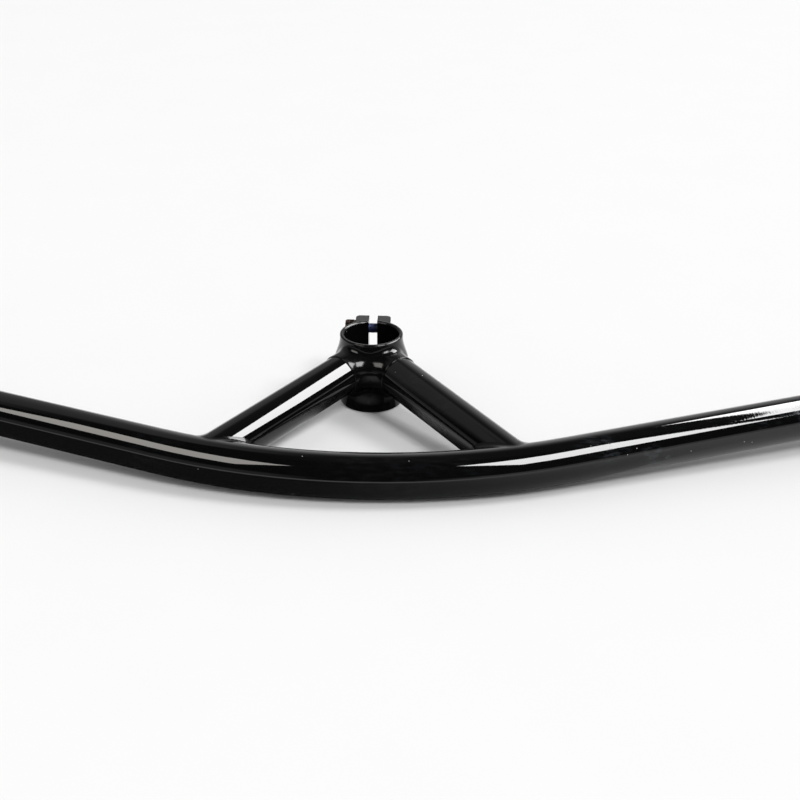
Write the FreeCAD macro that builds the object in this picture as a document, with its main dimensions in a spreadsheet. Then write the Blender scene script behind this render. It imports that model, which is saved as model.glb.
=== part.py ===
import FreeCAD, Part
import math
import os

import Sketcher
from FreeCAD import Vector

# One-piece bicycle handlebar and stem: a swept bar, two arms and a split steerer clamp.
# Frame: origin on the steerer axis at the clamp's lower face, +Z up, -Y forward, +X to the
# right of someone who looks at the bar's front. Lengths in mm, angles in degrees.

doc = FreeCAD.newDocument("integrated_handlebar")
sheet = doc.addObject("Spreadsheet::Sheet", "Sizes")

SIZES = [
    ("bar_od", "22.2", "bar tube outer diameter"),
    ("bar_wall", "2.0", "bar tube wall"),
    ("bar_width", "720", "bar width from end to end"),
    ("bend_radius", "300", "radius of the bend in the middle, on the tube axis"),
    ("sweep_deg", "19.2", "back sweep of each side"),
    ("rise_deg", "6", "rise of the bar's plane towards the ends"),
    ("reach", "102", "steerer axis to the bar's axis at its middle"),
    ("arm_od", "21", "arm tube outer diameter"),
    ("arm_wall", "2.0", "arm tube wall"),
    ("arm_spread", "75", "centre plane to where an arm's axis meets the bar's axis"),
    ("arm_drop", "13.7", "clamp's upper face to the arms' axes, on the steerer axis"),
    ("weld_outer", "10", "hollow of the dressed weld on an arm's outer side"),
    ("weld_inner", "4", "hollow of the dressed weld on an arm's inner side"),
    ("clamp_bore", "28.6", "steerer bore"),
    ("clamp_wall", "2.2", "clamp barrel wall"),
    ("clamp_height", "38.7", "clamp barrel height"),
    ("socket_reach", "24", "steerer axis to the seam with the arm, along the arm"),
    ("socket_lip", "0.3", "how far the socket stands proud of the arm"),
    ("socket_flat", "0.5", "half of the flat left between a socket's roundings"),
    ("valley_radius", "8.6", "hollow between the two sockets"),
    ("flare_radius", "40", "hollow between a socket and the barrel's side"),
    ("flare_bury", "1.2", "depth at which the side hollow ends inside the barrel"),
    ("swell_r", "19.4", "radius of the barrel where it swells towards the arms"),
    ("swell_ahead", "0.8", "how far the swelling lies ahead of the steerer axis"),
    ("root_radius", "3.8", "fillet where the sockets grow out of the barrel"),
    ("ear_wall", "7", "thickness of each ear"),
    ("ear_drop", "0.8", "how far the ears stop short of the clamp's end faces"),
    ("ear_lip", "4.8", "bolt axis to the back of the ears"),
    ("ear_corner", "2.5", "rounding of the ears' outer corners"),
    ("slot_width", "4.6", "gap between the ears"),
    ("bore_chamfer", "0.7", "chamfer of the bore's mouths"),
    ("rim_chamfer", "0.5", "chamfer of the barrel's outer rims"),
    ("bolt_d", "5", "bolt thread diameter"),
    ("bolt_play", "0.5", "clearance of the plain bolt hole, on the diameter"),
    ("thread_play", "0.1", "clearance left in the threaded hole, on the diameter"),
    ("bolt_grip", "16", "bolt length under its head"),
    ("bolt_inset", "4.9", "bore's wall to the bolts' axes"),
    ("bolt_edge", "6", "bolt axis to the near end face of the clamp"),
    ("head_d", "8.5", "bolt head diameter"),
    ("head_high", "5.6", "bolt head height"),
    ("head_chamfer", "0.5", "chamfer of the bolt head"),
    ("hex_af", "4", "key socket across its flats"),
    ("hex_depth", "2.6", "key socket depth"),
    ("tip_chamfer", "0.6", "chamfer of the bolt's tip"),
]

# Values that follow from the sizes above.
DERIVED = [
    ("bar_r", "=bar_od / 2"),
    ("bar_in_r", "=bar_od / 2 - bar_wall"),
    ("bend_end_x", "=bend_radius * sin(sweep_deg)"),
    ("bend_end_y", "=bend_radius * (1 - cos(sweep_deg))"),
    ("wing", "=(bar_width / 2 - bend_end_x) / cos(sweep_deg)"),
    ("arm_r", "=arm_od / 2"),
    ("arm_height", "=clamp_height - arm_drop"),
    ("arm_in_r", "=arm_od / 2 - arm_wall"),
    ("meet_bend", "=bend_radius - sqrt(abs(bend_radius ^ 2 - arm_spread ^ 2))"),
    ("meet_wing", "=bend_end_y + (arm_spread - bend_end_x) * tan(sweep_deg)"),
    ("meet_back", "=arm_spread < bend_end_x ? meet_bend : meet_wing"),
    ("meet_y", "=meet_back * cos(rise_deg) - reach"),
    ("meet_z", "=bar_r + meet_back * sin(rise_deg)"),
    ("arm_run", "=sqrt(arm_spread ^ 2 + meet_y ^ 2)"),
    ("arm_len", "=sqrt(arm_run ^ 2 + (arm_height - meet_z) ^ 2)"),
    ("arm_yaw", "=atan2(arm_spread; -meet_y) / 1 deg"),
    ("arm_slope", "=atan2(arm_height - meet_z; arm_run) / 1 deg"),
    ("web_tilt", "=atan2(arm_height - meet_z; -meet_y) / 1 deg"),
    ("web_half", "=atan2(arm_spread; sqrt(meet_y ^ 2 + (arm_height - meet_z) ^ 2)) / 1 deg"),
    ("web_w", "=arm_r + socket_lip"),
    ("socket_edge", "=web_w - socket_flat"),
    ("ux", "=sin(web_half)"),
    ("uy", "=cos(web_half)"),
    ("valley_c", "=-(web_w + valley_radius) / ux"),
    ("valley_s", "=-valley_c * uy"),
    ("bore_r", "=clamp_bore / 2"),
    ("clamp_r", "=bore_r + clamp_wall"),
    ("flare_r", "=clamp_r - flare_bury"),
    ("flare_s", "=sqrt((flare_r + flare_radius) ^ 2 - (web_w + flare_radius) ^ 2)"),
    ("flare_k", "=flare_r / (flare_r + flare_radius)"),
    ("swell_part_r", "=clamp_r + (swell_r - clamp_r) * 0.3"),
    ("swell_part_y", "=-swell_ahead * 0.3"),
    ("swell_mid_y", "=-swell_ahead"),
    ("ring_b_z", "=arm_height * 0.32"),
    ("ring_c_z", "=arm_height * 0.66"),
    ("ring_d_z", "=arm_height - 1"),
    ("ring_e_z", "=arm_height + arm_drop * 0.45"),
    ("ring_f_z", "=arm_height + arm_drop * 0.82"),
    ("in_a_x", "=valley_s * ux - web_w * uy"),
    ("in_a_y", "=-valley_s * uy - web_w * ux"),
    ("in_b_x", "=socket_reach * ux - web_w * uy"),
    ("in_b_y", "=-socket_reach * uy - web_w * ux"),
    ("out_b_x", "=socket_reach * ux + web_w * uy"),
    ("out_b_y", "=-socket_reach * uy + web_w * ux"),
    ("out_a_x", "=flare_s * ux + web_w * uy"),
    ("out_a_y", "=-flare_s * uy + web_w * ux"),
    ("side_x", "=(flare_s * ux + (web_w + flare_radius) * uy) * flare_k"),
    ("side_y", "=(-flare_s * uy + (web_w + flare_radius) * ux) * flare_k"),
    ("slot_x", "=slot_width / 2"),
    ("ear_x", "=slot_x + ear_wall"),
    ("bolt_back", "=bore_r + bolt_inset"),
    ("ear_back", "=bolt_back + ear_lip"),
    ("ear_high", "=clamp_height - 2 * ear_drop"),
    ("bolt_low", "=bolt_edge"),
    ("bolt_high", "=clamp_height - bolt_edge"),
    ("hole_r", "=(bolt_d + bolt_play) / 2"),
    ("tap_r", "=(bolt_d + thread_play) / 2"),
    ("bolt_r", "=bolt_d / 2"),
    ("head_r", "=head_d / 2"),
    ("hex_r", "=hex_af / sqrt(3)"),
]

for row, (alias, value, note) in enumerate(SIZES, start=1):
    sheet.set("A%d" % row, note)
    sheet.set("B%d" % row, value)
    sheet.setAlias("B%d" % row, alias)
for row, (alias, formula) in enumerate(DERIVED, start=len(SIZES) + 2):
    sheet.set("A%d" % row, alias.replace("_", " "))
    sheet.set("B%d" % row, formula)
    sheet.setAlias("B%d" % row, alias)
doc.recompute()


def val(alias):
    """The number that a cell of the sheet holds."""
    value = sheet.get(alias)
    return float(getattr(value, "Value", value))


def turned(x, y, z, yaw="0", pitch="0", roll="0"):
    """An expression for a placement from three coordinates and three angles."""
    return ("create(<<placement>>; create(<<vector>>; %s; %s; %s); create(<<rotation>>; %s; %s; %s))"
            % (x, y, z, yaw, pitch, roll))


def new_body(name):
    """An empty body with its own label."""
    body = doc.addObject("PartDesign::Body", name)
    body.Label = name
    return body


def new_sketch(body, name, plane, offset=None):
    """A sketch on one of the body's own origin planes, moved by an expression if given."""
    sketch = body.newObject("Sketcher::SketchObject", name)
    for feature in body.Origin.OriginFeatures:
        if feature.Role == plane:
            sketch.AttachmentSupport = [(feature, "")]
    sketch.MapMode = "FlatFace"
    if offset:
        sketch.setExpression("AttachmentOffset", offset)
    return sketch


def bind(sketch, name, expression, *constraint):
    """Add a named constraint that takes its value from the sheet."""
    index = sketch.addConstraint(Sketcher.Constraint(*constraint))
    sketch.renameConstraint(index, name)
    sketch.setExpression("Constraints." + name, expression)


def add_circle(sketch, tag, radius, x=None, y=None):
    """A circle with its radius, and its centre if it is off the origin, from the sheet."""
    cx, cy = (val(x) if x else 0.0), (val(y) if y else 0.0)
    geo = sketch.addGeometry(Part.Circle(Vector(cx, cy, 0), Vector(0, 0, 1), val(radius)), False)
    bind(sketch, tag + "_r", "Sizes." + radius, "Radius", geo, val(radius))
    for axis, cell, where in (("X", x, cx), ("Y", y, cy)):
        if cell:
            bind(sketch, tag + "_" + axis.lower(), "Sizes." + cell,
                 "Distance" + axis, -1, 1, geo, 3, where)
        else:
            on_axis = -2 if axis == "X" else -1
            sketch.addConstraint(Sketcher.Constraint("PointOnObject", geo, 3, on_axis))
    return geo


def add_halves(sketch, tag, radius):
    """A circle about the origin made of two half arcs that meet on the sketch's X axis."""
    circle = Part.Circle(Vector(0, 0, 0), Vector(0, 0, 1), val(radius))
    upper = sketch.addGeometry(Part.ArcOfCircle(circle, 0, math.pi), False)
    lower = sketch.addGeometry(Part.ArcOfCircle(circle, math.pi, 2 * math.pi), False)
    for arc in (upper, lower):
        sketch.addConstraint(Sketcher.Constraint("Coincident", arc, 3, -1, 1))
    sketch.addConstraint(Sketcher.Constraint("Coincident", upper, 2, lower, 1))
    sketch.addConstraint(Sketcher.Constraint("Coincident", lower, 2, upper, 1))
    sketch.addConstraint(Sketcher.Constraint("PointOnObject", upper, 1, -1))
    sketch.addConstraint(Sketcher.Constraint("PointOnObject", upper, 2, -1))
    bind(sketch, tag + "_r", "Sizes." + radius, "Radius", upper, val(radius))


def add_box(sketch, tag, half_x, y0, y1):
    """A rectangle centred on the sketch's Y axis between two heights from the sheet."""
    hx, lo, hi = val(half_x), (val(y0) if y0 else 0.0), val(y1)
    points = [Vector(-hx, lo, 0), Vector(hx, lo, 0), Vector(hx, hi, 0), Vector(-hx, hi, 0)]
    first = sketch.GeometryCount
    for i in range(4):
        sketch.addGeometry(Part.LineSegment(points[i], points[(i + 1) % 4]), False)
    for i in range(4):
        sketch.addConstraint(Sketcher.Constraint("Coincident", first + i, 2, first + (i + 1) % 4, 1))
    for i, kind in ((1, "Vertical"), (2, "Horizontal"), (3, "Vertical")):
        sketch.addConstraint(Sketcher.Constraint(kind, first + i))
    sketch.addConstraint(Sketcher.Constraint("Symmetric", first, 1, first, 2, -2))
    bind(sketch, tag + "_half", "Sizes." + half_x, "DistanceX", -1, 1, first + 1, 1, hx)
    bind(sketch, tag + "_top", "Sizes." + y1, "DistanceY", -1, 1, first + 2, 1, hi)
    if y0:
        bind(sketch, tag + "_low", "Sizes." + y0, "DistanceY", -1, 1, first, 1, lo)
    else:
        sketch.addConstraint(Sketcher.Constraint("PointOnObject", first, 1, -1))


def add_pad(body, name, sketch, length, both=False):
    """A pad whose length comes from the sheet, to both sides of the sketch if asked."""
    pad = body.newObject("PartDesign::Pad", name)
    pad.Profile = sketch
    pad.setExpression("Length", length)
    if both:
        pad.SideType = "Symmetric"
    return pad


def add_pocket(body, name, sketch, both=False, flip=False):
    """A pocket through everything on one or both sides of the sketch."""
    pocket = body.newObject("PartDesign::Pocket", name)
    pocket.Profile = sketch
    pocket.Type = "ThroughAll"
    pocket.SideType = "Symmetric" if both else "One side"
    pocket.Reversed = flip
    return pocket


def edge_names(shape, test):
    """Names of the edges for which the test on the edge and its faces holds."""
    names = []
    for index, edge in enumerate(shape.Edges, start=1):
        faces = shape.ancestorsOfType(edge, Part.Face)
        if len(faces) == 2 and test(edge, faces):
            names.append("Edge%d" % index)
    return names


def dress(body, kind, name, test, size_property, size_cell):
    """A fillet or chamfer on the edges of the body's tip that pass the test."""
    doc.recompute()
    base = body.Tip
    names = edge_names(base.Shape, test)
    if not names:
        raise RuntimeError("%s found no edge" % name)
    feature = body.newObject("PartDesign::" + kind, name)
    feature.Base = (base, names)
    feature.setExpression(size_property, "Sizes." + size_cell)
    return feature


def middle(edge):
    """The point half way along an edge."""
    return edge.valueAt((edge.FirstParameter + edge.LastParameter) / 2)


def is_round(face, radius):
    """Whether a face is an upright cylinder of this radius about the steerer axis."""
    surface = face.Surface
    if type(surface).__name__ != "Cylinder" or abs(surface.Axis.z) < 0.999:
        return False
    off_axis = Vector(surface.Center.x, surface.Center.y, 0).Length
    return abs(surface.Radius - radius) < 1e-4 and off_axis < 1e-4


def is_level(face):
    """Whether a face is flat and horizontal."""
    return type(face.Surface).__name__ == "Plane" and abs(face.Surface.Axis.z) > 0.999


# The bar: an arc in the middle with a straight wing on each side, first solid, then its bore.
def bent_rod(name, radius):
    """A body along the bar's axis with a round section of the given radius."""
    body = new_body(name)
    body.setExpression("Placement", turned("0", "-Sizes.reach", "Sizes.bar_r", roll="Sizes.rise_deg"))
    bend = new_sketch(body, name + "_bend", "YZ_Plane", turned("0", "0", "0", yaw="-90"))
    add_circle(bend, "tube", radius)
    pivot = bend.addGeometry(Part.LineSegment(Vector(-9, val("bend_radius"), 0),
                                              Vector(9, val("bend_radius"), 0)), True)
    bend.addConstraint(Sketcher.Constraint("Symmetric", pivot, 1, pivot, 2, -2))
    bind(bend, "pivot_len", "Sizes.bar_r", "DistanceX", pivot, 1, pivot, 2, val("bar_r"))
    bind(bend, "pivot_y", "Sizes.bend_radius", "DistanceY", -1, 1, pivot, 1, val("bend_radius"))
    arc = body.newObject("PartDesign::Revolution", name + "_arc")
    arc.Profile = bend
    arc.ReferenceAxis = (bend, ["Axis0"])
    arc.setExpression("Angle", "2 * Sizes.sweep_deg")
    arc.Midplane = True
    wing = new_sketch(body, name + "_wing", "YZ_Plane",
                      turned("Sizes.bend_end_y", "0", "Sizes.bend_end_x", pitch="Sizes.sweep_deg")
                      + " * " + turned("0", "0", "0", yaw="-90"))
    add_circle(wing, "tube", radius)
    right = add_pad(body, name + "_right", wing, "Sizes.wing")
    left = body.newObject("PartDesign::Mirrored", name + "_left")
    left.Originals = [right]
    for feature in body.Origin.OriginFeatures:
        if feature.Role == "YZ_Plane":
            left.MirrorPlane = (feature, [""])
    body.Tip = left
    doc.recompute()
    return body


bar_core = bent_rod("bar_core", "bar_r")
bar_bore = bent_rod("bar_bore", "bar_in_r")
tube = doc.addObject("Part::Cut", "handlebar_tube")
tube.Base, tube.Tool = bar_core, bar_bore
tube.Label = "handlebar_tube"

# The arms: straight tubes from the clamp's sockets, mitred to the bar.
SIDES = (("left", "-Sizes.arm_yaw"), ("right", "Sizes.arm_yaw"))


def arm_rod(name, yaw, outer, inner=None):
    """A rod or tube along one arm's axis, from the seam to the bar's axis."""
    body = new_body(name)
    body.setExpression("Placement", turned("0", "0", "Sizes.arm_height", yaw=yaw,
                                           roll="90 + Sizes.arm_slope"))
    section = new_sketch(body, name + "_section", "XY_Plane",
                         turned("0", "0", "Sizes.socket_reach"))
    if inner:
        add_circle(section, "outer", outer)
        add_circle(section, "inner", inner)
    else:
        add_halves(section, "outer", outer)
    pad = add_pad(body, name + "_pad", section, "Sizes.arm_len - Sizes.socket_reach")
    pad.Refine = False
    doc.recompute()
    return body


arms, arm_rods = {}, []
for side, yaw in SIDES:
    straight = arm_rod(side + "_arm_tube", yaw, "arm_r", "arm_in_r")
    arm = doc.addObject("Part::Cut", side + "_arm")
    arm.Base, arm.Tool = straight, bar_core
    arm.Label = side + "_arm"
    arms[side] = arm
    arm_rods.append(arm_rod(side + "_arm_core", yaw, "arm_r"))
doc.recompute()

# The dressed welds: what a hollow fillet adds in the corner between the arms and the bar.
joined = doc.addObject("Part::MultiFuse", "joined_cores")
joined.Shapes = [bar_core] + arm_rods
joined.Refine = False
doc.recompute()


def is_mitre(edge, faces):
    """Whether an edge is where an arm's side meets the bar."""
    kinds = []
    for face in faces:
        surface = face.Surface
        if type(surface).__name__ == "Cylinder" and abs(surface.Radius - val("arm_r")) < 1e-4:
            kinds.append("arm")
        elif type(surface).__name__ in ("Toroid", "Cylinder"):
            kinds.append("bar")
    return sorted(kinds) == ["arm", "bar"]


def weld_at(point):
    """The weld's radius at a point of a mitre, which grows from an arm's inner to its outer side."""
    yaw = math.radians(val("arm_yaw"))
    aside = abs(point.x) * math.cos(yaw) + point.y * math.sin(yaw)
    share = (aside / val("arm_r") + 1) / 2
    return val("weld_inner") + (val("weld_outer") - val("weld_inner")) * share


hollow = doc.addObject("Part::Fillet", "welded_cores")
hollow.Base = joined
mitres = [(name, joined.Shape.getElement(name)) for name in edge_names(joined.Shape, is_mitre)]
hollow.Edges = [(int(name[4:]), weld_at(edge.valueAt(edge.FirstParameter)),
                 weld_at(edge.valueAt(edge.LastParameter))) for name, edge in mitres]
doc.recompute()
welds = doc.addObject("Part::Cut", "bar_welds")
welds.Base, welds.Tool = hollow, joined
welds.Label = "bar_welds"

# The clamp: a web with two round sockets, the barrel, the ears, then the cuts.
clamp = new_body("steerer_clamp")
plan = new_sketch(clamp, "web_plan", "XY_Plane",
                  turned("0", "0", "Sizes.arm_height", roll="Sizes.web_tilt"))


def corner(tag, mirror=False):
    """A point of the web's plan from its two cells, on the right or the left side."""
    return Vector(-val(tag + "_x") if mirror else val(tag + "_x"), val(tag + "_y"), 0)


def plan_line(start, end, mirror):
    """A straight side of the web's plan between two named corners."""
    return plan.addGeometry(Part.LineSegment(corner(start, mirror), corner(end, mirror)), False)


def plan_arc(start, end, centre):
    """The short arc of the plan about a centre, counter-clockwise as a sketch keeps it."""
    turn = [math.atan2(point.y - centre.y, point.x - centre.x) for point in (start, end)]
    if (turn[1] - turn[0]) % (2 * math.pi) > math.pi:
        turn.reverse()
    round_line = Part.Circle(centre, Vector(0, 0, 1), (start - centre).Length)
    return plan.addGeometry(Part.ArcOfCircle(round_line, turn[0], turn[1]), False)


def arc_end(index, point):
    """Which end of an arc of the plan lies at the point: 1 or 2."""
    arc = plan.Geometry[index]
    return 1 if (arc.StartPoint - point).Length < (arc.EndPoint - point).Length else 2


def pin(tag, mirror, side, end):
    """Hold one end of a side of the plan at its named corner."""
    key, sign = ("left_", "-") if mirror else ("right_", "")
    point = corner(tag, mirror)
    bind(plan, key + tag + "_x", "%sSizes.%s_x" % (sign, tag), "DistanceX", -1, 1, side, end, point.x)
    bind(plan, key + tag + "_y", "Sizes.%s_y" % tag, "DistanceY", -1, 1, side, end, point.y)


def join(first, first_end, second, second_end):
    """Make two ends of the plan meet."""
    plan.addConstraint(Sketcher.Constraint("Coincident", first, first_end, second, second_end))


valley = plan_arc(corner("in_a"), corner("in_a", True), Vector(0, val("valley_c"), 0))
bind(plan, "valley_r", "Sizes.valley_radius", "Radius", valley, val("valley_radius"))
back = plan.addGeometry(Part.LineSegment(corner("side", True), corner("side")), False)
for mirror in (False, True):
    inner = plan_line("in_a", "in_b", mirror)
    seam = plan_line("in_b", "out_b", mirror)
    outer = plan_line("out_b", "out_a", mirror)
    out_point, side_point = corner("out_a", mirror), corner("side", mirror)
    flare = plan_arc(out_point, side_point, side_point * (1 / val("flare_k")))
    back_end = 1 if mirror else 2
    for tag, side, end in (("in_a", inner, 1), ("in_b", seam, 1), ("out_b", outer, 1),
                           ("out_a", outer, 2), ("side", back, back_end)):
        pin(tag, mirror, side, end)
    join(valley, arc_end(valley, corner("in_a", mirror)), inner, 1)
    join(inner, 2, seam, 1)
    join(seam, 2, outer, 1)
    join(outer, 2, flare, arc_end(flare, out_point))
    join(flare, arc_end(flare, side_point), back, back_end)
    bind(plan, ("left" if mirror else "right") + "_flare_r", "Sizes.flare_radius",
         "Radius", flare, val("flare_radius"))
add_pad(clamp, "web", plan, "2 * Sizes.web_w", both=True)
doc.recompute()

web_axis = FreeCAD.Rotation(0, 0, val("web_tilt")).multVec(Vector(0, 0, 1))


def along_web(edge, faces):
    """Whether an edge runs along the sockets, on the web's upper or lower face."""
    planes = [face.Surface for face in faces if type(face.Surface).__name__ == "Plane"]
    flat = [plane for plane in planes if abs(plane.Axis.dot(web_axis)) > 0.999]
    untilt = FreeCAD.Rotation(0, 0, -val("web_tilt"))
    point = untilt.multVec(middle(edge) - Vector(0, 0, val("arm_height")))
    reach = abs(point.x) * val("ux") - point.y * val("uy")
    at_back = abs(point.y - val("side_y")) < 1e-3 and abs(point.x) < 1e-3
    return len(flat) == 1 and reach < val("socket_reach") - 1e-3 and not at_back


dress(clamp, "Fillet", "socket_rounding", along_web, "Radius", "socket_edge")
rings = []
for tag, radius, ahead, level in (("a", "clamp_r", None, "0"), ("b", "clamp_r", None, "Sizes.ring_b_z"),
                                  ("c", "swell_part_r", "swell_part_y", "Sizes.ring_c_z"),
                                  ("d", "swell_r", "swell_mid_y", "Sizes.ring_d_z"),
                                  ("e", "swell_part_r", "swell_part_y", "Sizes.ring_e_z"),
                                  ("f", "clamp_r", None, "Sizes.ring_f_z"),
                                  ("g", "clamp_r", None, "Sizes.clamp_height")):
    ring = new_sketch(clamp, "barrel_ring_" + tag, "XY_Plane", turned("0", "0", level, yaw="90"))
    add_circle(ring, "barrel", radius, ahead)
    rings.append(ring)
barrel = clamp.newObject("PartDesign::AdditiveLoft", "barrel")
barrel.Profile = rings[0]
barrel.Sections = rings[1:]
doc.recompute()


def at_root(edge, faces):
    """Whether an edge is where a socket grows out of the barrel."""
    swept = [type(face.Surface).__name__ == "BSplineSurface" for face in faces]
    return sum(swept) == 1 and not any(is_level(face) for face in faces)


dress(clamp, "Fillet", "root_fillet", at_root, "Radius", "root_radius")


def at_rim(edge, faces):
    """Whether an edge is one of the barrel's outer rims."""
    swept = [type(face.Surface).__name__ == "BSplineSurface" for face in faces]
    return any(swept) and any(map(is_level, faces))


dress(clamp, "Chamfer", "rim_breaks", at_rim, "Size", "rim_chamfer")
ears = new_sketch(clamp, "ears_plan", "XY_Plane", turned("0", "0", "Sizes.ear_drop"))
add_box(ears, "ears", "ear_x", None, "ear_back")
add_pad(clamp, "ears", ears, "Sizes.ear_high")


def at_ear_corner(edge, faces):
    """Whether an edge is one of the two upright corners at the back of the ears."""
    flat = [face for face in faces if type(face.Surface).__name__ == "Plane" and not is_level(face)]
    return len(flat) == 2 and abs(middle(edge).y - val("ear_back")) < 1e-4


dress(clamp, "Fillet", "ear_rounding", at_ear_corner, "Radius", "ear_corner")
mouth = new_sketch(clamp, "bore_mouth", "XY_Plane", turned("0", "0", "0", yaw="-90"))
add_circle(mouth, "bore", "bore_r")
add_pocket(clamp, "bore", mouth, both=True)
doc.recompute()


def at_bore_mouth(edge, faces):
    """Whether an edge is one of the bore's two mouths."""
    return any(is_round(face, val("bore_r")) for face in faces) and any(map(is_level, faces))


dress(clamp, "Chamfer", "bore_mouths", at_bore_mouth, "Size", "bore_chamfer")
gap = new_sketch(clamp, "slot_plan", "XY_Plane")
add_box(gap, "slot", "slot_x", None, "ear_back")
add_pocket(clamp, "slot", gap, both=True)
for name, radius, flip in (("plain_holes", "hole_r", False), ("tapped_holes", "tap_r", True)):
    holes = new_sketch(clamp, name + "_plan", "YZ_Plane")
    add_circle(holes, "low", radius, "bolt_back", "bolt_low")
    add_circle(holes, "high", radius, "bolt_back", "bolt_high")
    add_pocket(clamp, name, holes, flip=flip)
doc.recompute()


# The clamp bolts: cap screws with a key socket, heads on the left ear.
def cap_screw(name, height):
    """One cap screw with its head seated on the left ear at the given height."""
    body = new_body(name)
    body.setExpression("Placement", turned("-Sizes.ear_x", "Sizes.bolt_back", "Sizes." + height,
                                           pitch="90"))
    head = new_sketch(body, name + "_head_plan", "XY_Plane")
    add_circle(head, "head", "head_r")
    pad = add_pad(body, name + "_head", head, "Sizes.head_high")
    pad.Reversed = True
    dress(body, "Chamfer", name + "_head_break",
          lambda e, faces: abs(middle(e).z + val("head_high")) < 1e-4, "Size", "head_chamfer")
    shank = new_sketch(body, name + "_shank_plan", "XY_Plane")
    add_circle(shank, "shank", "bolt_r")
    add_pad(body, name + "_shank", shank, "Sizes.bolt_grip")
    dress(body, "Chamfer", name + "_tip",
          lambda e, faces: abs(middle(e).z - val("bolt_grip")) < 1e-4, "Size", "tip_chamfer")
    key = new_sketch(body, name + "_key_plan", "XY_Plane", turned("0", "0", "-Sizes.head_high"))
    points = [FreeCAD.Rotation(60 * i, 0, 0).multVec(Vector(val("hex_r"), 0, 0)) for i in range(6)]
    for i in range(6):
        key.addGeometry(Part.LineSegment(points[i], points[(i + 1) % 6]), False)
    rim = key.addGeometry(Part.Circle(Vector(0, 0, 0), Vector(0, 0, 1), val("hex_r")), True)
    key.addConstraint(Sketcher.Constraint("Coincident", rim, 3, -1, 1))
    bind(key, "hex_r", "Sizes.hex_r", "Radius", rim, val("hex_r"))
    for i in range(6):
        key.addConstraint(Sketcher.Constraint("Coincident", i, 2, (i + 1) % 6, 1))
        key.addConstraint(Sketcher.Constraint("PointOnObject", i, 1, rim))
        if i:
            key.addConstraint(Sketcher.Constraint("Equal", 0, i))
    key.addConstraint(Sketcher.Constraint("PointOnObject", 0, 1, -1))
    socket = body.newObject("PartDesign::Pocket", name + "_key")
    socket.Profile = key
    socket.setExpression("Length", "Sizes.hex_depth")
    socket.Reversed = True
    doc.recompute()
    return body


bolts = doc.addObject("Part::Compound", "clamp_bolts")
bolts.Links = [cap_screw("lower_bolt", "bolt_low"), cap_screw("upper_bolt", "bolt_high")]
bolts.Label = "clamp_bolts"
doc.recompute()

NODES = {"handlebar_tube": tube, "left_arm": arms["left"], "right_arm": arms["right"],
         "bar_welds": welds, "steerer_clamp": clamp, "clamp_bolts": bolts}
for item in doc.Objects:
    if any(word in item.State for word in ("Invalid", "Error")):
        raise RuntimeError("%s did not build: %s" % (item.Name, item.State))
for name, item in NODES.items():
    shape = item.Shape
    if shape.isNull() or not shape.isValid() or not shape.Solids:
        raise RuntimeError("%s has no valid solid" % name)
os.makedirs("parts", exist_ok=True)
for name, item in NODES.items():
    item.Shape.exportStep("parts/%s.step" % name)
    box = item.Shape.BoundBox
    print("%-15s solids %d  volume %9.1f  size %.1f x %.1f x %.1f" % (
        name, len(item.Shape.Solids), item.Shape.Volume, box.XLength, box.YLength, box.ZLength))
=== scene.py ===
import logging
import math
from dataclasses import dataclass
from enum import Enum

import bmesh
import bpy
from mathutils import Matrix, Vector


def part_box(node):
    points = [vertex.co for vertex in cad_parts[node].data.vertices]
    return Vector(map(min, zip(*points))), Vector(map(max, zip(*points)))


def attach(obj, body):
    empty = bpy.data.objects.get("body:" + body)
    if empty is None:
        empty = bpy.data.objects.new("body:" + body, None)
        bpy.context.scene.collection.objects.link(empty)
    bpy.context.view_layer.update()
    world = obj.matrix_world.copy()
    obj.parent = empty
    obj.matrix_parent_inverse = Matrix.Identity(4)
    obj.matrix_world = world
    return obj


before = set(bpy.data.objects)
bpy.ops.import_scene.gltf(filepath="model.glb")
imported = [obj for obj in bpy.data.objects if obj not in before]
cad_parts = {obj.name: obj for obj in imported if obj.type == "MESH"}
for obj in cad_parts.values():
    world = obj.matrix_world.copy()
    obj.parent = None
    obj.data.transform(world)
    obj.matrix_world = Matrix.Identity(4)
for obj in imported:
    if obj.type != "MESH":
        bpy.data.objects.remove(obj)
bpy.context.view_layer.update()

LOG = logging.getLogger("handlebar")
MM = 0.001
ROOT_BODY = "root"

Colour = tuple[float, float, float]
Point = tuple[float, float, float]
Spot = tuple[float, float]
Span = tuple[float, float]
Socket = bpy.types.NodeSocket

WHITE: Colour = (1.0, 1.0, 1.0)
WHOLE: Span = (0.0, 1.0)


class Side(Enum):
    """The two sides of the bar, as the sign of their x."""

    LEFT = -1
    RIGHT = 1


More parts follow.
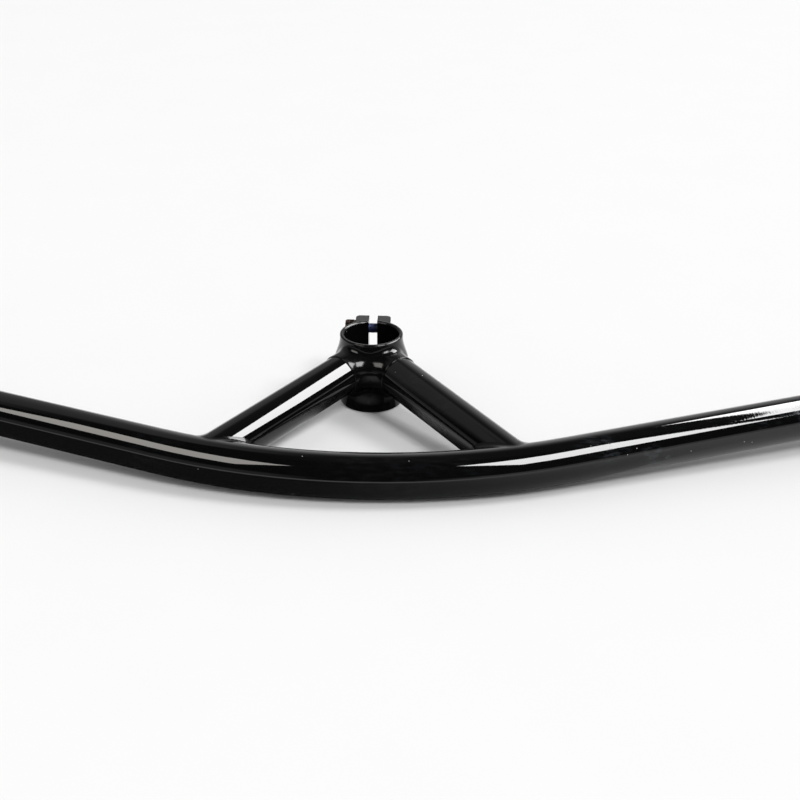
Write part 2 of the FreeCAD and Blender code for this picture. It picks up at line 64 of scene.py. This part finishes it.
class Board:
    """A small helper that lays out the nodes of one material or of the world."""

    def __init__(self, tree: bpy.types.NodeTree) -> None:
        """Start with an empty tree.

        Args:
            tree: The node tree to fill.
        """
        self.tree = tree
        tree.nodes.clear()

    def add(self, kind: str, inputs: dict | None = None, **settings: object) -> bpy.types.Node:
        """Add a node, set its properties and wire or set its inputs.

        Args:
            kind: The node's type name.
            inputs: Socket name or index to an output socket or a plain value.
            **settings: Properties of the node itself.

        Returns:
            The new node.
        """
        node = self.tree.nodes.new(kind)
        for name, value in settings.items():
            setattr(node, name, value)
        for name, value in (inputs or {}).items():
            if isinstance(value, Socket):
                self.tree.links.new(value, node.inputs[name])
            else:
                node.inputs[name].default_value = value
        return node

    def place(self) -> Socket:
        """The position in the object's own frame, in metres."""
        return self.add("ShaderNodeTexCoord").outputs["Object"]

    def split(self, place: Socket) -> list[Socket]:
        """Split a position or a direction into its x, y and z."""
        return list(self.add("ShaderNodeSeparateXYZ", {0: place}).outputs)

    def math(self, operation: str, first: object, second: object) -> Socket:
        """Add one arithmetic step and return its result.

        Args:
            operation: The name of the operation.
            first: An output socket or a number.
            second: An output socket or a number.

        Returns:
            The socket that holds the result.
        """
        return self.add("ShaderNodeMath", {0: first, 1: second}, operation=operation).outputs[0]

    def ramp(self, value: Socket, span: Span, out: Span = WHOLE) -> Socket:
        """Map a value smoothly from one span to another and hold it at the ends.

        Args:
            value: The socket to map.
            span: Where the smooth step starts and ends.
            out: The results at the two ends.

        Returns:
            The socket that holds the mapped value.
        """
        return self.add("ShaderNodeMapRange",
                        {"Value": value, "From Min": span[0], "From Max": span[1],
                         "To Min": out[0], "To Max": out[1]},
                        interpolation_type="SMOOTHSTEP").outputs["Result"]

    def mix(self, factor: Socket, first: object, second: object) -> Socket:
        """Mix two numbers.

        Args:
            factor: How much of the second number shows, from 0 to 1.
            first: A number or a socket.
            second: A number or a socket.

        Returns:
            The mixed number.
        """
        return self.add("ShaderNodeMix", {0: factor, 2: first, 3: second}).outputs[0]

    def blend(self, factor: Socket, first: object, second: object) -> Socket:
        """Mix two colours.

        Args:
            factor: How much of the second colour shows, from 0 to 1.
            first: A colour or a socket.
            second: A colour or a socket.

        Returns:
            The mixed colour.
        """
        plain = [value if isinstance(value, Socket) else (*value, 1.0)
                 for value in (first, second)]
        return self.add("ShaderNodeMix", {0: factor, 6: plain[0], 7: plain[1]},
                        data_type="RGBA").outputs[2]

    def grain(self, place: Socket, size: Point, turn: Point = (0.0, 0.0, 0.0),
              detail: float = 2.0) -> Socket:
        """Add noise whose grains have a real size along each axis.

        Args:
            place: The position socket.
            size: The grain's length along each axis, in metres.
            turn: The rotation of those axes.
            detail: How many finer layers the noise holds.

        Returns:
            The noise from 0 to 1.
        """
        mapped = self.add("ShaderNodeMapping", {"Vector": place, "Rotation": turn, "Scale": size},
                          vector_type="TEXTURE").outputs[0]
        return self.add("ShaderNodeTexNoise",
                        {"Vector": mapped, "Scale": 1.0, "Detail": detail}).outputs["Fac"]

    def bump(self, height: Socket, depth: float, normal: Socket | None) -> Socket:
        """Bend a normal by a height.

        Args:
            height: The height from 0 to 1.
            depth: What a height of 1 stands for, in metres.
            normal: The normal to start from, or None for the surface's own.

        Returns:
            The bent normal.
        """
        inputs = {"Height": height, "Strength": 1.0, "Distance": depth}
        if normal is not None:
            inputs["Normal"] = normal
        return self.add("ShaderNodeBump", inputs).outputs[0]


def new_board(name: str) -> tuple[bpy.types.Material, Board]:
    """Make a material with an empty node board.

    Args:
        name: The material's name.

    Returns:
        The material and its board.
    """
    material = bpy.data.materials.new(name)
    material.use_nodes = True
    return material, Board(material.node_tree)


@dataclass(frozen=True)
class GlossBlack:
    """Hard gloss black over polished metal, with polishing rings, smudges and dust.

    Pitches, heights and sizes are in metres. Worn marks and stronger smudges set in along x.
    """

    name: str
    along: Point = (1.0, 0.0, 0.0)
    colour: Colour = (0.0028, 0.0028, 0.0030)
    ior: float = 1.5
    specular: float = 0.5
    roughness: float = 0.035
    ring_pitch: float = 0.55 * MM
    ring_height: float = 0.0014 * MM
    ring_reach: float = 16.0
    mark_pitch: float = 1.3 * MM
    mark_height: float = 0.0
    mark_reach: float = 5.0
    mark_span: Span = (0.11, 0.18)
    peel_pitch: float = 2.6 * MM
    peel_height: float = 0.0024 * MM
    ripple_pitch: float = 9.0 * MM
    ripple_height: float = 0.0
    crease_radius: float = 0.0
    crease_samples: int = 8
    haze: Colour = (0.026, 0.029, 0.033)
    smudge_roughness: float = 0.13
    smudge_base: float = 0.12
    smudge_span: Span | None = None
    patch_size: Point = (45 * MM, 30 * MM, 30 * MM)
    patch_span: Span = (0.50, 0.68)
    wipe_size: Point = (7 * MM, 1.6 * MM, 1.6 * MM)
    wipe_span: Span = (0.42, 0.66)
    dust: Colour = (0.42, 0.41, 0.39)
    dust_roughness: float = 0.5
    dust_cell: float = 4.5 * MM
    dust_share: float = 0.10
    dust_span: Span = (0.07, 0.03)

    def material(self) -> bpy.types.Material:
        """Build the material.

        Returns:
            The finished material.
        """
        material, board = new_board(self.name)
        place = board.place()
        smudge = self._smudges(board, place)
        speck = self._dust(board, place)
        wiped = board.blend(smudge, self.colour, self.haze)
        dull = board.ramp(smudge, WHOLE, (self.roughness, self.smudge_roughness))
        dusty = board.math("MULTIPLY", speck, self.dust_roughness)
        surface = board.add("ShaderNodeBsdfPrincipled",
                            {"Base Color": board.blend(speck, wiped, self.dust),
                             "Roughness": board.math("ADD", dull, dusty),
                             "IOR": self.ior, "Specular IOR Level": self.specular,
                             "Normal": self._relief(board, place)})
        board.add("ShaderNodeOutputMaterial", {"Surface": surface.outputs[0]})
        return material

    def _smudges(self, board: Board, place: Socket) -> Socket:
        """Faint wiped patches, from 0 where it is clean to 1.

        Args:
            board: The board to add to.
            place: The position socket.

        Returns:
            The smudge mask.
        """
        patch = board.ramp(board.grain(place, self.patch_size, detail=3.0), self.patch_span)
        wipe = board.ramp(board.grain(place, self.wipe_size, detail=4.0), self.wipe_span)
        amount = self.smudge_base
        if self.smudge_span:
            x = board.split(place)[0]
            amount = board.ramp(x, self.smudge_span, (self.smudge_base, 1.0))
        return board.math("MULTIPLY", board.math("MULTIPLY", patch, wipe), amount)

    def _dust(self, board: Board, place: Socket) -> Socket:
        """Sparse dust specks, from 0 to 1.

        Args:
            board: The board to add to.
            place: The position socket.

        Returns:
            The dust mask.
        """
        cells = board.add("ShaderNodeTexVoronoi",
                          {"Vector": place, "Scale": 1.0 / self.dust_cell, "Randomness": 1.0})
        near = board.ramp(cells.outputs["Distance"], self.dust_span)
        pick = board.add("ShaderNodeSeparateColor", {0: cells.outputs["Color"]}).outputs[0]
        return board.math("MULTIPLY", near, board.math("LESS_THAN", pick, self.dust_share))

    def _relief(self, board: Board, place: Socket) -> Socket:
        """Polishing rings, orange peel and, where asked, worn marks, ripple and soft creases.

        Args:
            board: The board to add to.
            place: The position socket.

        Returns:
            The bent normal.
        """
        turn = Vector((1.0, 0.0, 0.0)).rotation_difference(Vector(self.along)).to_euler()
        ring_round = self.ring_reach * self.ring_pitch
        rings = board.grain(place, (self.ring_pitch, ring_round, ring_round), turn)
        if self.mark_height:
            mark_round = self.mark_reach * self.mark_pitch
            marks = board.grain(place, (self.mark_pitch, mark_round, mark_round), turn, detail=3.0)
            worn = board.math("MULTIPLY", marks, board.ramp(board.split(place)[0], self.mark_span))
            deeper = board.math("MULTIPLY", worn, self.mark_height / self.ring_height)
            rings = board.math("ADD", rings, deeper)
        normal = None
        if self.crease_radius:
            normal = board.add("ShaderNodeBevel", {"Radius": self.crease_radius},
                               samples=self.crease_samples).outputs[0]
        normal = board.bump(rings, self.ring_height, normal)
        peel = board.grain(place, (self.peel_pitch,) * 3, detail=1.0)
        normal = board.bump(peel, self.peel_height, normal)
        if self.ripple_height:
            ripple = board.grain(place, (self.ripple_pitch,) * 3, detail=0.0)
            normal = board.bump(ripple, self.ripple_height, normal)
        return normal


@dataclass(frozen=True)
class BlackSteel:
    """Blackened bolt steel with a fine grain and, where asked, dark blue thread lock."""

    name: str
    colour: Colour = (0.030, 0.028, 0.027)
    worn: Colour = (0.110, 0.060, 0.045)
    blotch_size: float = 2.4 * MM
    blotch_span: Span = (0.45, 0.72)
    roughness: float = 0.33
    rough_spread: Span = (-0.06, 0.08)
    grain_size: float = 0.35 * MM
    grain_span: Span = (0.3, 0.7)
    grain_height: float = 0.006 * MM
    lock: Colour = (0.006, 0.012, 0.060)
    lock_roughness: float = 0.46
    lock_span: Span | None = None
    lock_edge: float = 0.3 * MM
    ragged_size: float = 0.8 * MM
    ragged_depth: float = 0.9 * MM

    def material(self) -> bpy.types.Material:
        """Build the material.

        Returns:
            The finished material.
        """
        material, board = new_board(self.name)
        place = board.place()
        fine = board.grain(place, (self.grain_size,) * 3, detail=3.0)
        blotch = board.grain(place, (self.blotch_size,) * 3, detail=3.0)
        colour = board.blend(board.ramp(blotch, self.blotch_span), self.colour, self.worn)
        if self.lock_span:
            lock = self._lock_patch(board, place)
            colour = board.blend(lock, colour, self.lock)
            metal = board.math("SUBTRACT", 1.0, lock)
            rough = board.ramp(lock, WHOLE, (self.roughness, self.lock_roughness))
        else:
            low, high = self.rough_spread
            metal = 1.0
            rough = board.ramp(fine, self.grain_span,
                               (self.roughness + low, self.roughness + high))
        surface = board.add("ShaderNodeBsdfPrincipled",
                            {"Base Color": colour, "Metallic": metal, "Roughness": rough,
                             "Normal": board.bump(fine, self.grain_height, None)})
        board.add("ShaderNodeOutputMaterial", {"Surface": surface.outputs[0]})
        return material

    def _lock_patch(self, board: Board, place: Socket) -> Socket:
        """Where the thread lock covers the thread, from 0 to 1.

        Args:
            board: The board to add to.
            place: The position socket.

        Returns:
            The mask of the patch.
        """
        ragged = board.math("MULTIPLY", board.grain(place, (self.ragged_size,) * 3),
                            self.ragged_depth)
        edge = board.math("ADD", board.split(place)[0], ragged)
        low, high = self.lock_span
        return board.math("MULTIPLY", board.ramp(edge, (low, low + self.lock_edge)),
                          board.ramp(edge, (high, high - self.lock_edge)))


def dress(node: str, material: bpy.types.Material) -> None:
    """Give a CAD node its finish.

    Args:
        node: The node's name.
        material: The finish.
    """
    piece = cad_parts[node]
    piece.data.materials.clear()
    piece.data.materials.append(material)
    LOG.info("dressed %s with %s", node, material.name)


def new_object(name: str, shape: bmesh.types.BMesh,
               material: bpy.types.Material) -> bpy.types.Object:
    """Turn a finished bmesh into an object of the scene.

    Args:
        name: The object's name.
        shape: The bmesh, which is freed.
        material: The object's finish.

    Returns:
        The new object.
    """
    mesh = bpy.data.meshes.new(name)
    shape.to_mesh(mesh)
    shape.free()
    mesh.materials.append(material)
    item = bpy.data.objects.new(name, mesh)
    bpy.context.scene.collection.objects.link(item)
    return item


def new_steel_piece(name: str, shape: bmesh.types.BMesh, material: bpy.types.Material) -> None:
    """Turn a finished bmesh into a steel piece that rides on the bar.

    Args:
        name: The piece's name.
        shape: The bmesh, which is freed.
        material: The piece's finish.
    """
    bmesh.ops.recalc_face_normals(shape, faces=shape.faces)
    piece = new_object(name, shape, material)
    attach(piece, ROOT_BODY)
    LOG.info("built %s with %d faces", name, len(piece.data.polygons))


def lay_sheet(name: str, corners: tuple[Spot, ...], height: float,
              material: bpy.types.Material) -> bpy.types.Object:
    """Lay a flat sheet that isn't part of the bar.

    Args:
        name: The sheet's name.
        corners: Its corners in order, as x and y.
        height: How high it lies.
        material: Its finish.

    Returns:
        The new object.
    """
    plane = bmesh.new()
    plane.faces.new([plane.verts.new((x, y, height)) for x, y in corners])
    sheet = new_object(name, plane, material)
    LOG.info("laid the %s", name)
    return sheet


def skin_rings(shape: bmesh.types.BMesh, rings: list[list[Vector]], closed: bool) -> None:
    """Join rings of points into a skin of four-sided faces.

    Args:
        shape: The bmesh to add to.
        rings: Rings with the same number of points each.
        closed: Whether the last ring joins the first one; otherwise the ends are capped.
    """
    rows = [[shape.verts.new(point) for point in ring] for ring in rings]
    count = len(rows[0])
    following = rows[1:] + ([rows[0]] if closed else [])
    for first, second in zip(rows, following):
        for i in range(count):
            j = (i + 1) % count
            shape.faces.new((first[i], first[j], second[j], second[i]))
    if not closed:
        shape.faces.new(rows[0][::-1])
        shape.faces.new(rows[-1])


@dataclass
class BarTube:
    """The swept bar: one tube with a bend in the middle."""

    node: str = "handlebar_tube"
    sweep: float = math.radians(19.2)
    mark_height: float = 0.010 * MM
    smudge_span: Span = (0.07, 0.13)

    def dress(self) -> None:
        """Give the tube its gloss black, worn and wiped on the right wing."""
        bar_line = (math.cos(self.sweep), math.sin(self.sweep), 0.0)
        finish = GlossBlack("bar gloss black", along=bar_line, mark_height=self.mark_height,
                            smudge_span=self.smudge_span)
        dress(self.node, finish.material())


@dataclass
class Arms:
    """The two straight arms between the clamp and the bar, and their dressed welds."""

    weld_node: str = "bar_welds"
    spread: float = 75 * MM
    run: float = 93 * MM

    def dress(self) -> None:
        """Give the arms and the welds their gloss black, each with its own grain."""
        for side in Side:
            label = side.name.lower()
            along = Vector((side.value * self.spread, -self.run, 0.0)).normalized()
            finish = GlossBlack("%s arm gloss black" % label, along=tuple(along))
            dress("%s_arm" % label, finish.material())
        welds = GlossBlack("weld gloss black", ripple_height=0.055 * MM, ripple_pitch=5.0 * MM,
                           roughness=0.15, peel_height=0.004 * MM, specular=0.22)
        dress(self.weld_node, welds.material())


@dataclass
class SteererClamp:
    """The split clamp with its two sockets."""

    node: str = "steerer_clamp"

    def dress(self) -> None:
        """Give the clamp its gloss black, slightly rippled as a forged and blasted lug is."""
        finish = GlossBlack("clamp gloss black", along=(0.0, 0.0, 1.0), roughness=0.13,
                            ripple_height=0.010 * MM, ripple_pitch=7.0 * MM,
                            crease_radius=0.9 * MM, specular=0.26)
        dress(self.node, finish.material())


@dataclass
class ClampBolts:
    """The two cap screws: their blackened steel, knurled heads and threads."""

    node: str = "clamp_bolts"
    head_radius: float = 4.25 * MM
    head_high: float = 5.6 * MM
    shank_radius: float = 2.5 * MM
    slot_half: float = 2.3 * MM
    lock_span: Span = (-3.4 * MM, 3.4 * MM)
    knurl_count: int = 40
    knurl_points: int = 4
    knurl_rise: float = 0.13 * MM
    knurl_flank: float = 0.02 * MM
    knurl_root: float = 0.25 * MM
    knurl_margin: float = 0.75 * MM
    knurl_slope: float = 0.20 * MM
    thread_pitch: float = 0.8 * MM
    thread_clear: float = 0.72 * MM
    thread_rise: float = 0.13 * MM
    thread_root: float = 0.20 * MM
    thread_steps: int = 40
    thread_foot_share: float = 0.9
    thread_crest_share: float = 0.12
    runout_rate: float = 6.0
    runout_start: float = 0.3

    def axes(self) -> list[tuple[str, Vector]]:
        """Where the two bolts' heads seat.

        Returns:
            Each bolt's name and the centre of the face under its head.
        """
        low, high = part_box(self.node)
        middle = (low.y + high.y) / 2
        seat = low.x + self.head_high
        return [("lower", Vector((seat, middle, low.z + self.head_radius))),
                ("upper", Vector((seat, middle, high.z - self.head_radius)))]

    def build(self) -> None:
        """Build the knurls and the threads of both bolts."""
        knurl_finish = BlackSteel("bolt knurl steel").material()
        thread_finish = BlackSteel("bolt thread steel", lock_span=self.lock_span).material()
        for name, seat in self.axes():
            new_steel_piece("%s_bolt_knurl" % name, self._knurl(seat), knurl_finish)
            new_steel_piece("%s_bolt_thread" % name, self._thread(seat), thread_finish)

    def dress(self) -> None:
        """Give the bolts themselves their blackened steel."""
        dress(self.node, BlackSteel("bolt steel", lock_span=self.lock_span).material())

    def _knurl(self, seat: Vector) -> bmesh.types.BMesh:
        """A ridged sleeve round one bolt's head.

        Args:
            seat: The centre of the face under the head.

        Returns:
            The sleeve as a closed ring.
        """
        root = self.head_radius - self.knurl_root
        flank = self.head_radius + self.knurl_flank
        crest = self.head_radius + self.knurl_rise
        start = seat.x - self.knurl_margin
        end = seat.x - self.head_high + self.knurl_margin
        profile = ((start, root, root), (start, flank, flank),
                   (start - self.knurl_slope, flank, crest),
                   (end + self.knurl_slope, flank, crest), (end, flank, flank), (end, root, root))
        count = self.knurl_points * self.knurl_count
        rings = []
        for x, low, high in profile:
            ring = []
            for i in range(count):
                on_ridge = i % self.knurl_points in (1, 2)
                ring.append(self._round(seat, x, high if on_ridge else low, math.tau * i / count))
            rings.append(ring)
        sleeve = bmesh.new()
        skin_rings(sleeve, rings, closed=True)
        return sleeve

    def _thread(self, seat: Vector) -> bmesh.types.BMesh:
        """The thread where one bolt crosses the slot.

        Args:
            seat: The centre of the face under the head.

        Returns:
            The helical ridge, capped at both ends.
        """
        length = 2 * self.slot_half - self.thread_clear
        turns = length / self.thread_pitch
        steps = int(turns * self.thread_steps)
        root = self.shank_radius - self.thread_root
        crest = self.shank_radius + self.thread_rise
        foot_half = self.thread_foot_share * self.thread_pitch / 2
        crest_half = self.thread_crest_share * self.thread_pitch / 2
        section = ((-foot_half, root), (-crest_half, crest), (crest_half, crest),
                   (foot_half, root))
        rings = []
        for i in range(steps + 1):
            share = i / steps
            runout = min(1.0, self.runout_rate * share, self.runout_rate * (1 - share))
            rise = self.runout_start + (1 - self.runout_start) * runout
            x = length * (share - 0.5)
            rings.append([self._round(seat, x + shift, root + (radius - root) * rise,
                                      math.tau * turns * share) for shift, radius in section])
        coil = bmesh.new()
        skin_rings(coil, rings, closed=False)
        return coil

    @staticmethod
    def _round(seat: Vector, x: float, radius: float, angle: float) -> Vector:
        """A point round one bolt's axis.

        Args:
            seat: A point on the axis.
            x: How far along the bar's x the point lies.
            radius: How far from the axis it lies.
            angle: Its angle round the axis.

        Returns:
            The point.
        """
        return Vector((x, seat.y + radius * math.cos(angle), seat.z + radius * math.sin(angle)))


class Glow(Enum):
    """What a light does: light the scene, or only show as a reflection in gloss."""

    LAMP = "lamp"
    CARD = "card"


@dataclass(frozen=True)
class Softbox:
    """A soft light, placed by where it stands as seen from the bar, with angles in degrees."""

    name: str
    glow: Glow
    azimuth: float
    elevation: float
    width: float
    height: float
    radiance: float
    distance: float
    roll: float = 0.0
    colour: Colour = WHITE
    target: Point = (0.0, -60 * MM, 20 * MM)

    def build(self) -> None:
        """Hang the light and turn it to the bar."""
        turn, rise = math.radians(self.azimuth), math.radians(self.elevation)
        away = Vector((math.sin(turn) * math.cos(rise), -math.cos(turn) * math.cos(rise),
                       math.sin(rise)))
        light = bpy.data.lights.new(self.name, "AREA")
        light.shape = "RECTANGLE"
        light.size = 2 * self.distance * math.tan(math.radians(self.width / 2))
        light.size_y = 2 * self.distance * math.tan(math.radians(self.height / 2))
        light.energy = math.pi * light.size * light.size_y * self.radiance
        light.color = self.colour
        lamp = bpy.data.objects.new(self.name, light)
        right = Vector((0.0, 0.0, 1.0)).cross(away).normalized()
        up = away.cross(right)
        roll = Matrix.Rotation(math.radians(self.roll), 3, "Z")
        facing = Matrix((right, up, away)).transposed() @ roll
        spot = Vector(self.target) + away * self.distance
        lamp.matrix_world = Matrix.Translation(spot) @ facing.to_4x4()
        lamp.visible_glossy = self.glow is Glow.CARD
        lamp.visible_diffuse = self.glow is Glow.LAMP
        bpy.context.scene.collection.objects.link(lamp)
        LOG.info("hung %s", self.name)


class Fade(Enum):
    """The way a painted reflection shade thins out."""

    ALONG_X = "along x"
    FROM_STEERER = "away from the steerer"


@dataclass(frozen=True)
class ReflectionShade:
    """A dark sheet just above the floor that only gloss sees, painting shade into the floor's
    reflection.

    It is darkest at the first value of its fade and gone at the second.
    """

    name: str
    corners: tuple[Spot, ...]
    way: Fade
    fade: Span
    height: float
    depth: float = 0.95
    colour: Colour = (0.02, 0.02, 0.02)

    def build(self) -> None:
        """Lay the sheet of painted reflection shade and hide it from all but gloss."""
        material, board = new_board(self.name)
        place = board.place()
        if self.way is Fade.ALONG_X:
            far = board.split(place)[0]
        else:
            far = board.add("ShaderNodeVectorMath", {0: place}, operation="LENGTH").outputs["Value"]
        clear = board.add("ShaderNodeBsdfTransparent")
        # Painted shade: a dark matt colour that only reflections see, darkening the mirrored floor.
        dark = board.add("ShaderNodeBsdfDiffuse", {"Color": (*self.colour, 1.0)})
        faded = board.add("ShaderNodeMixShader", {0: board.ramp(far, self.fade, (self.depth, 0.0)),
                                                  1: clear.outputs[0], 2: dark.outputs[0]})
        board.add("ShaderNodeOutputMaterial", {"Surface": faded.outputs[0]})
        reflection_shade = lay_sheet(self.name, self.corners, self.height, material)
        reflection_shade.visible_camera = False
        reflection_shade.visible_diffuse = False
        reflection_shade.visible_shadow = False
        reflection_shade.visible_transmission = False


@dataclass
class Room:
    """The room that the gloss mirrors: grey walls round the bar under a dark ceiling.

    Spans are parts of a ray's direction, with x to the right, y to the back and z up. A tone
    sets in or goes out smoothly from the first value of its span to the second.
    """

    back_from: Span = (-0.02, 0.14)
    back_wall: float = 0.95
    back_top: float = 0.05
    back_rise: Span = (0.30, 0.80)
    back_right_share: float = 0.6
    back_right_span: Span = (-0.10, 0.30)
    left_wall: float = 0.29
    left_from: Span = (-0.06, -0.22)
    left_top: Span = (0.89, 0.84)
    front_left_wall: float = 0.27
    front_left_from: Span = (-0.15, -0.40)
    front_left_top: Span = (0.30, 0.18)
    front_right_wall: float = 0.64
    front_right_from: Span = (0.10, 0.45)
    front_right_top: Span = (0.17, 0.10)
    horizon: Span = (0.03, 0.01)
    far_floor: float = 1.0
    fill: float = 0.39

    def build(self) -> None:
        """Light the room, with an even fill on matt surfaces and a white floor to the horizon."""
        world = bpy.data.worlds.new("studio room")
        world.use_nodes = True
        bpy.context.scene.world = world
        board = Board(world.node_tree)
        x, y, z = board.split(board.add("ShaderNodeTexCoord").outputs["Generated"])
        walls = board.mix(board.ramp(y, self.back_from), self._front(board, x, z),
                          self._back(board, x, z))
        matt = board.add("ShaderNodeLightPath").outputs["Is Diffuse Ray"]
        filled = board.math("ADD", walls, board.math("MULTIPLY", matt, self.fill))
        strength = board.mix(board.ramp(z, self.horizon), filled, self.far_floor)
        light = board.add("ShaderNodeBackground", {"Color": (*WHITE, 1.0), "Strength": strength})
        board.add("ShaderNodeOutputWorld", {"Surface": light.outputs[0]})
        LOG.info("lit the room")

    def _back(self, board: Board, x: Socket, z: Socket) -> Socket:
        """The bright wall behind the bar, which darkens upwards, and the grey one on its left.

        Args:
            board: The board to add to.
            x: The ray's x.
            z: The ray's z.

        Returns:
            The tone of the room's back half.
        """
        upwards = board.ramp(z, self.back_rise, (self.back_wall, self.back_top))
        sideways = board.ramp(x, self.back_right_span, (1.0, self.back_right_share))
        left = board.ramp(z, self.left_top, (0.0, self.left_wall))
        return board.mix(board.ramp(x, self.left_from),
                         board.math("MULTIPLY", upwards, sideways), left)

    def _front(self, board: Board, x: Socket, z: Socket) -> Socket:
        """The two low walls in front of the bar, with the dark between them.

        Args:
            board: The board to add to.
            x: The ray's x.
            z: The ray's z.

        Returns:
            The tone of the room's front half.
        """
        left = board.math("MULTIPLY",
                          board.ramp(x, self.front_left_from, (0.0, self.front_left_wall)),
                          board.ramp(z, self.front_left_top))
        right = board.math("MULTIPLY",
                           board.ramp(x, self.front_right_from, (0.0, self.front_right_wall)),
                           board.ramp(z, self.front_right_top))
        return board.math("ADD", left, right)


@dataclass
class Studio:
    """The pale floor, the sheets of painted shade that only gloss sees, the room, the soft lights
    and the camera.
    """

    floor_half: float = 4.0
    floor_drop: float = 0.1 * MM
    floor_colour: Colour = (0.84, 0.84, 0.84)
    floor_shade: float = 0.994
    floor_grain: float = 60 * MM
    floor_span: Span = (0.3, 0.7)
    # Dark sheets that only gloss sees: painted shade in the floor as the bar, the arms and the
    # clamp mirror it.
    reflection_shades: tuple[ReflectionShade, ...] = (
        ReflectionShade("front flag", way=Fade.ALONG_X, fade=(-60 * MM, 260 * MM), height=0.2 * MM,
             corners=((-600 * MM, -260 * MM), (300 * MM, -260 * MM), (300 * MM, -80 * MM),
                      (-60 * MM, -88 * MM), (-120 * MM, -70 * MM), (-360 * MM, 18 * MM),
                      (-600 * MM, 100 * MM))),
        ReflectionShade("inner flag", way=Fade.ALONG_X, fade=(38 * MM, -6 * MM), height=0.2 * MM,
             corners=((-6 * MM, -13 * MM), (-6 * MM, -82 * MM), (72 * MM, -84 * MM),
                      (10 * MM, -13 * MM))),
        ReflectionShade("clamp flag", way=Fade.FROM_STEERER, fade=(30 * MM, 52 * MM), height=0.3 * MM,
             corners=((-55 * MM, -10 * MM), (-55 * MM, -60 * MM), (55 * MM, -60 * MM),
                      (55 * MM, -10 * MM))))
    lights: tuple[Softbox, ...] = (
        Softbox("front left lamp", Glow.LAMP, azimuth=-52.0, elevation=44.0,
                width=30.0, height=29.0, radiance=0.58, distance=30.0),
        Softbox("front right lamp", Glow.LAMP, azimuth=44.0, elevation=50.0,
                width=16.0, height=16.0, radiance=18.5, distance=30.0),
        Softbox("back right lamp", Glow.LAMP, azimuth=98.0, elevation=45.0,
                width=16.0, height=16.0, radiance=16.8, distance=30.0),
        Softbox("front left card", Glow.CARD, azimuth=-52.0, elevation=47.0, roll=5.7,
                width=30.3, height=22.5, radiance=6.4, distance=1.6, colour=(1.0, 0.96, 0.90)),
        Softbox("front right card", Glow.CARD, azimuth=50.2, elevation=53.0, roll=-4.7,
                width=22.5, height=24.0, radiance=19.0, distance=1.6),
        Softbox("back right card", Glow.CARD, azimuth=118.1, elevation=45.0, roll=-7.9,
                width=49.3, height=29.9, radiance=20.0, distance=2.7))
    camera_at: Point = (37.19 * MM, -695.99 * MM, 354.75 * MM)
    camera_right: Point = (0.99938, 0.03472, 0.00622)
    camera_up: Point = (-0.02132, 0.45406, 0.89072)
    camera_lens: float = 65.737
    camera_sensor: float = 36.0
    camera_near: float = 10 * MM

    def build(self) -> None:
        """Set up everything round the bar."""
        self._floor()
        for reflection_shade in self.reflection_shades:
            reflection_shade.build()
        Room().build()
        for light in self.lights:
            light.build()
        self._camera()
        bpy.context.scene.view_settings.view_transform = "Standard"

    def _floor(self) -> None:
        """Lay the pale floor, white by its own colour under the lamps."""
        material, board = new_board("pale floor")
        tone = board.ramp(board.grain(board.place(), (self.floor_grain,) * 3), self.floor_span)
        shade = tuple(self.floor_shade * part for part in self.floor_colour)
        matt = board.add("ShaderNodeBsdfDiffuse",
                         {"Color": board.blend(tone, shade, self.floor_colour)})
        board.add("ShaderNodeOutputMaterial", {"Surface": matt.outputs[0]})
        half = self.floor_half
        corners = ((-half, -half), (half, -half), (half, half), (-half, half))
        lay_sheet("floor", corners, -self.floor_drop, material)

    def _camera(self) -> None:
        """Stand the camera at the photograph's place."""
        right, up = Vector(self.camera_right), Vector(self.camera_up)
        back = right.cross(up)
        lens = bpy.data.cameras.new("camera")
        lens.lens = self.camera_lens
        lens.sensor_width = self.camera_sensor
        lens.clip_start = self.camera_near
        camera = bpy.data.objects.new("camera", lens)
        turn = Matrix((right, up, back)).transposed().to_4x4()
        camera.matrix_world = Matrix.Translation(Vector(self.camera_at)) @ turn
        bpy.context.scene.collection.objects.link(camera)
        bpy.context.scene.camera = camera
        LOG.info("placed the camera")


def main() -> None:
    """Dress the bar piece by piece, then set up the studio."""
    logging.basicConfig(level=logging.INFO, format="%(name)s: %(message)s")
    BarTube().dress()
    Arms().dress()
    SteererClamp().dress()
    bolts = ClampBolts()
    bolts.dress()
    bolts.build()
    Studio().build()


if __name__ == "__main__":
    main()
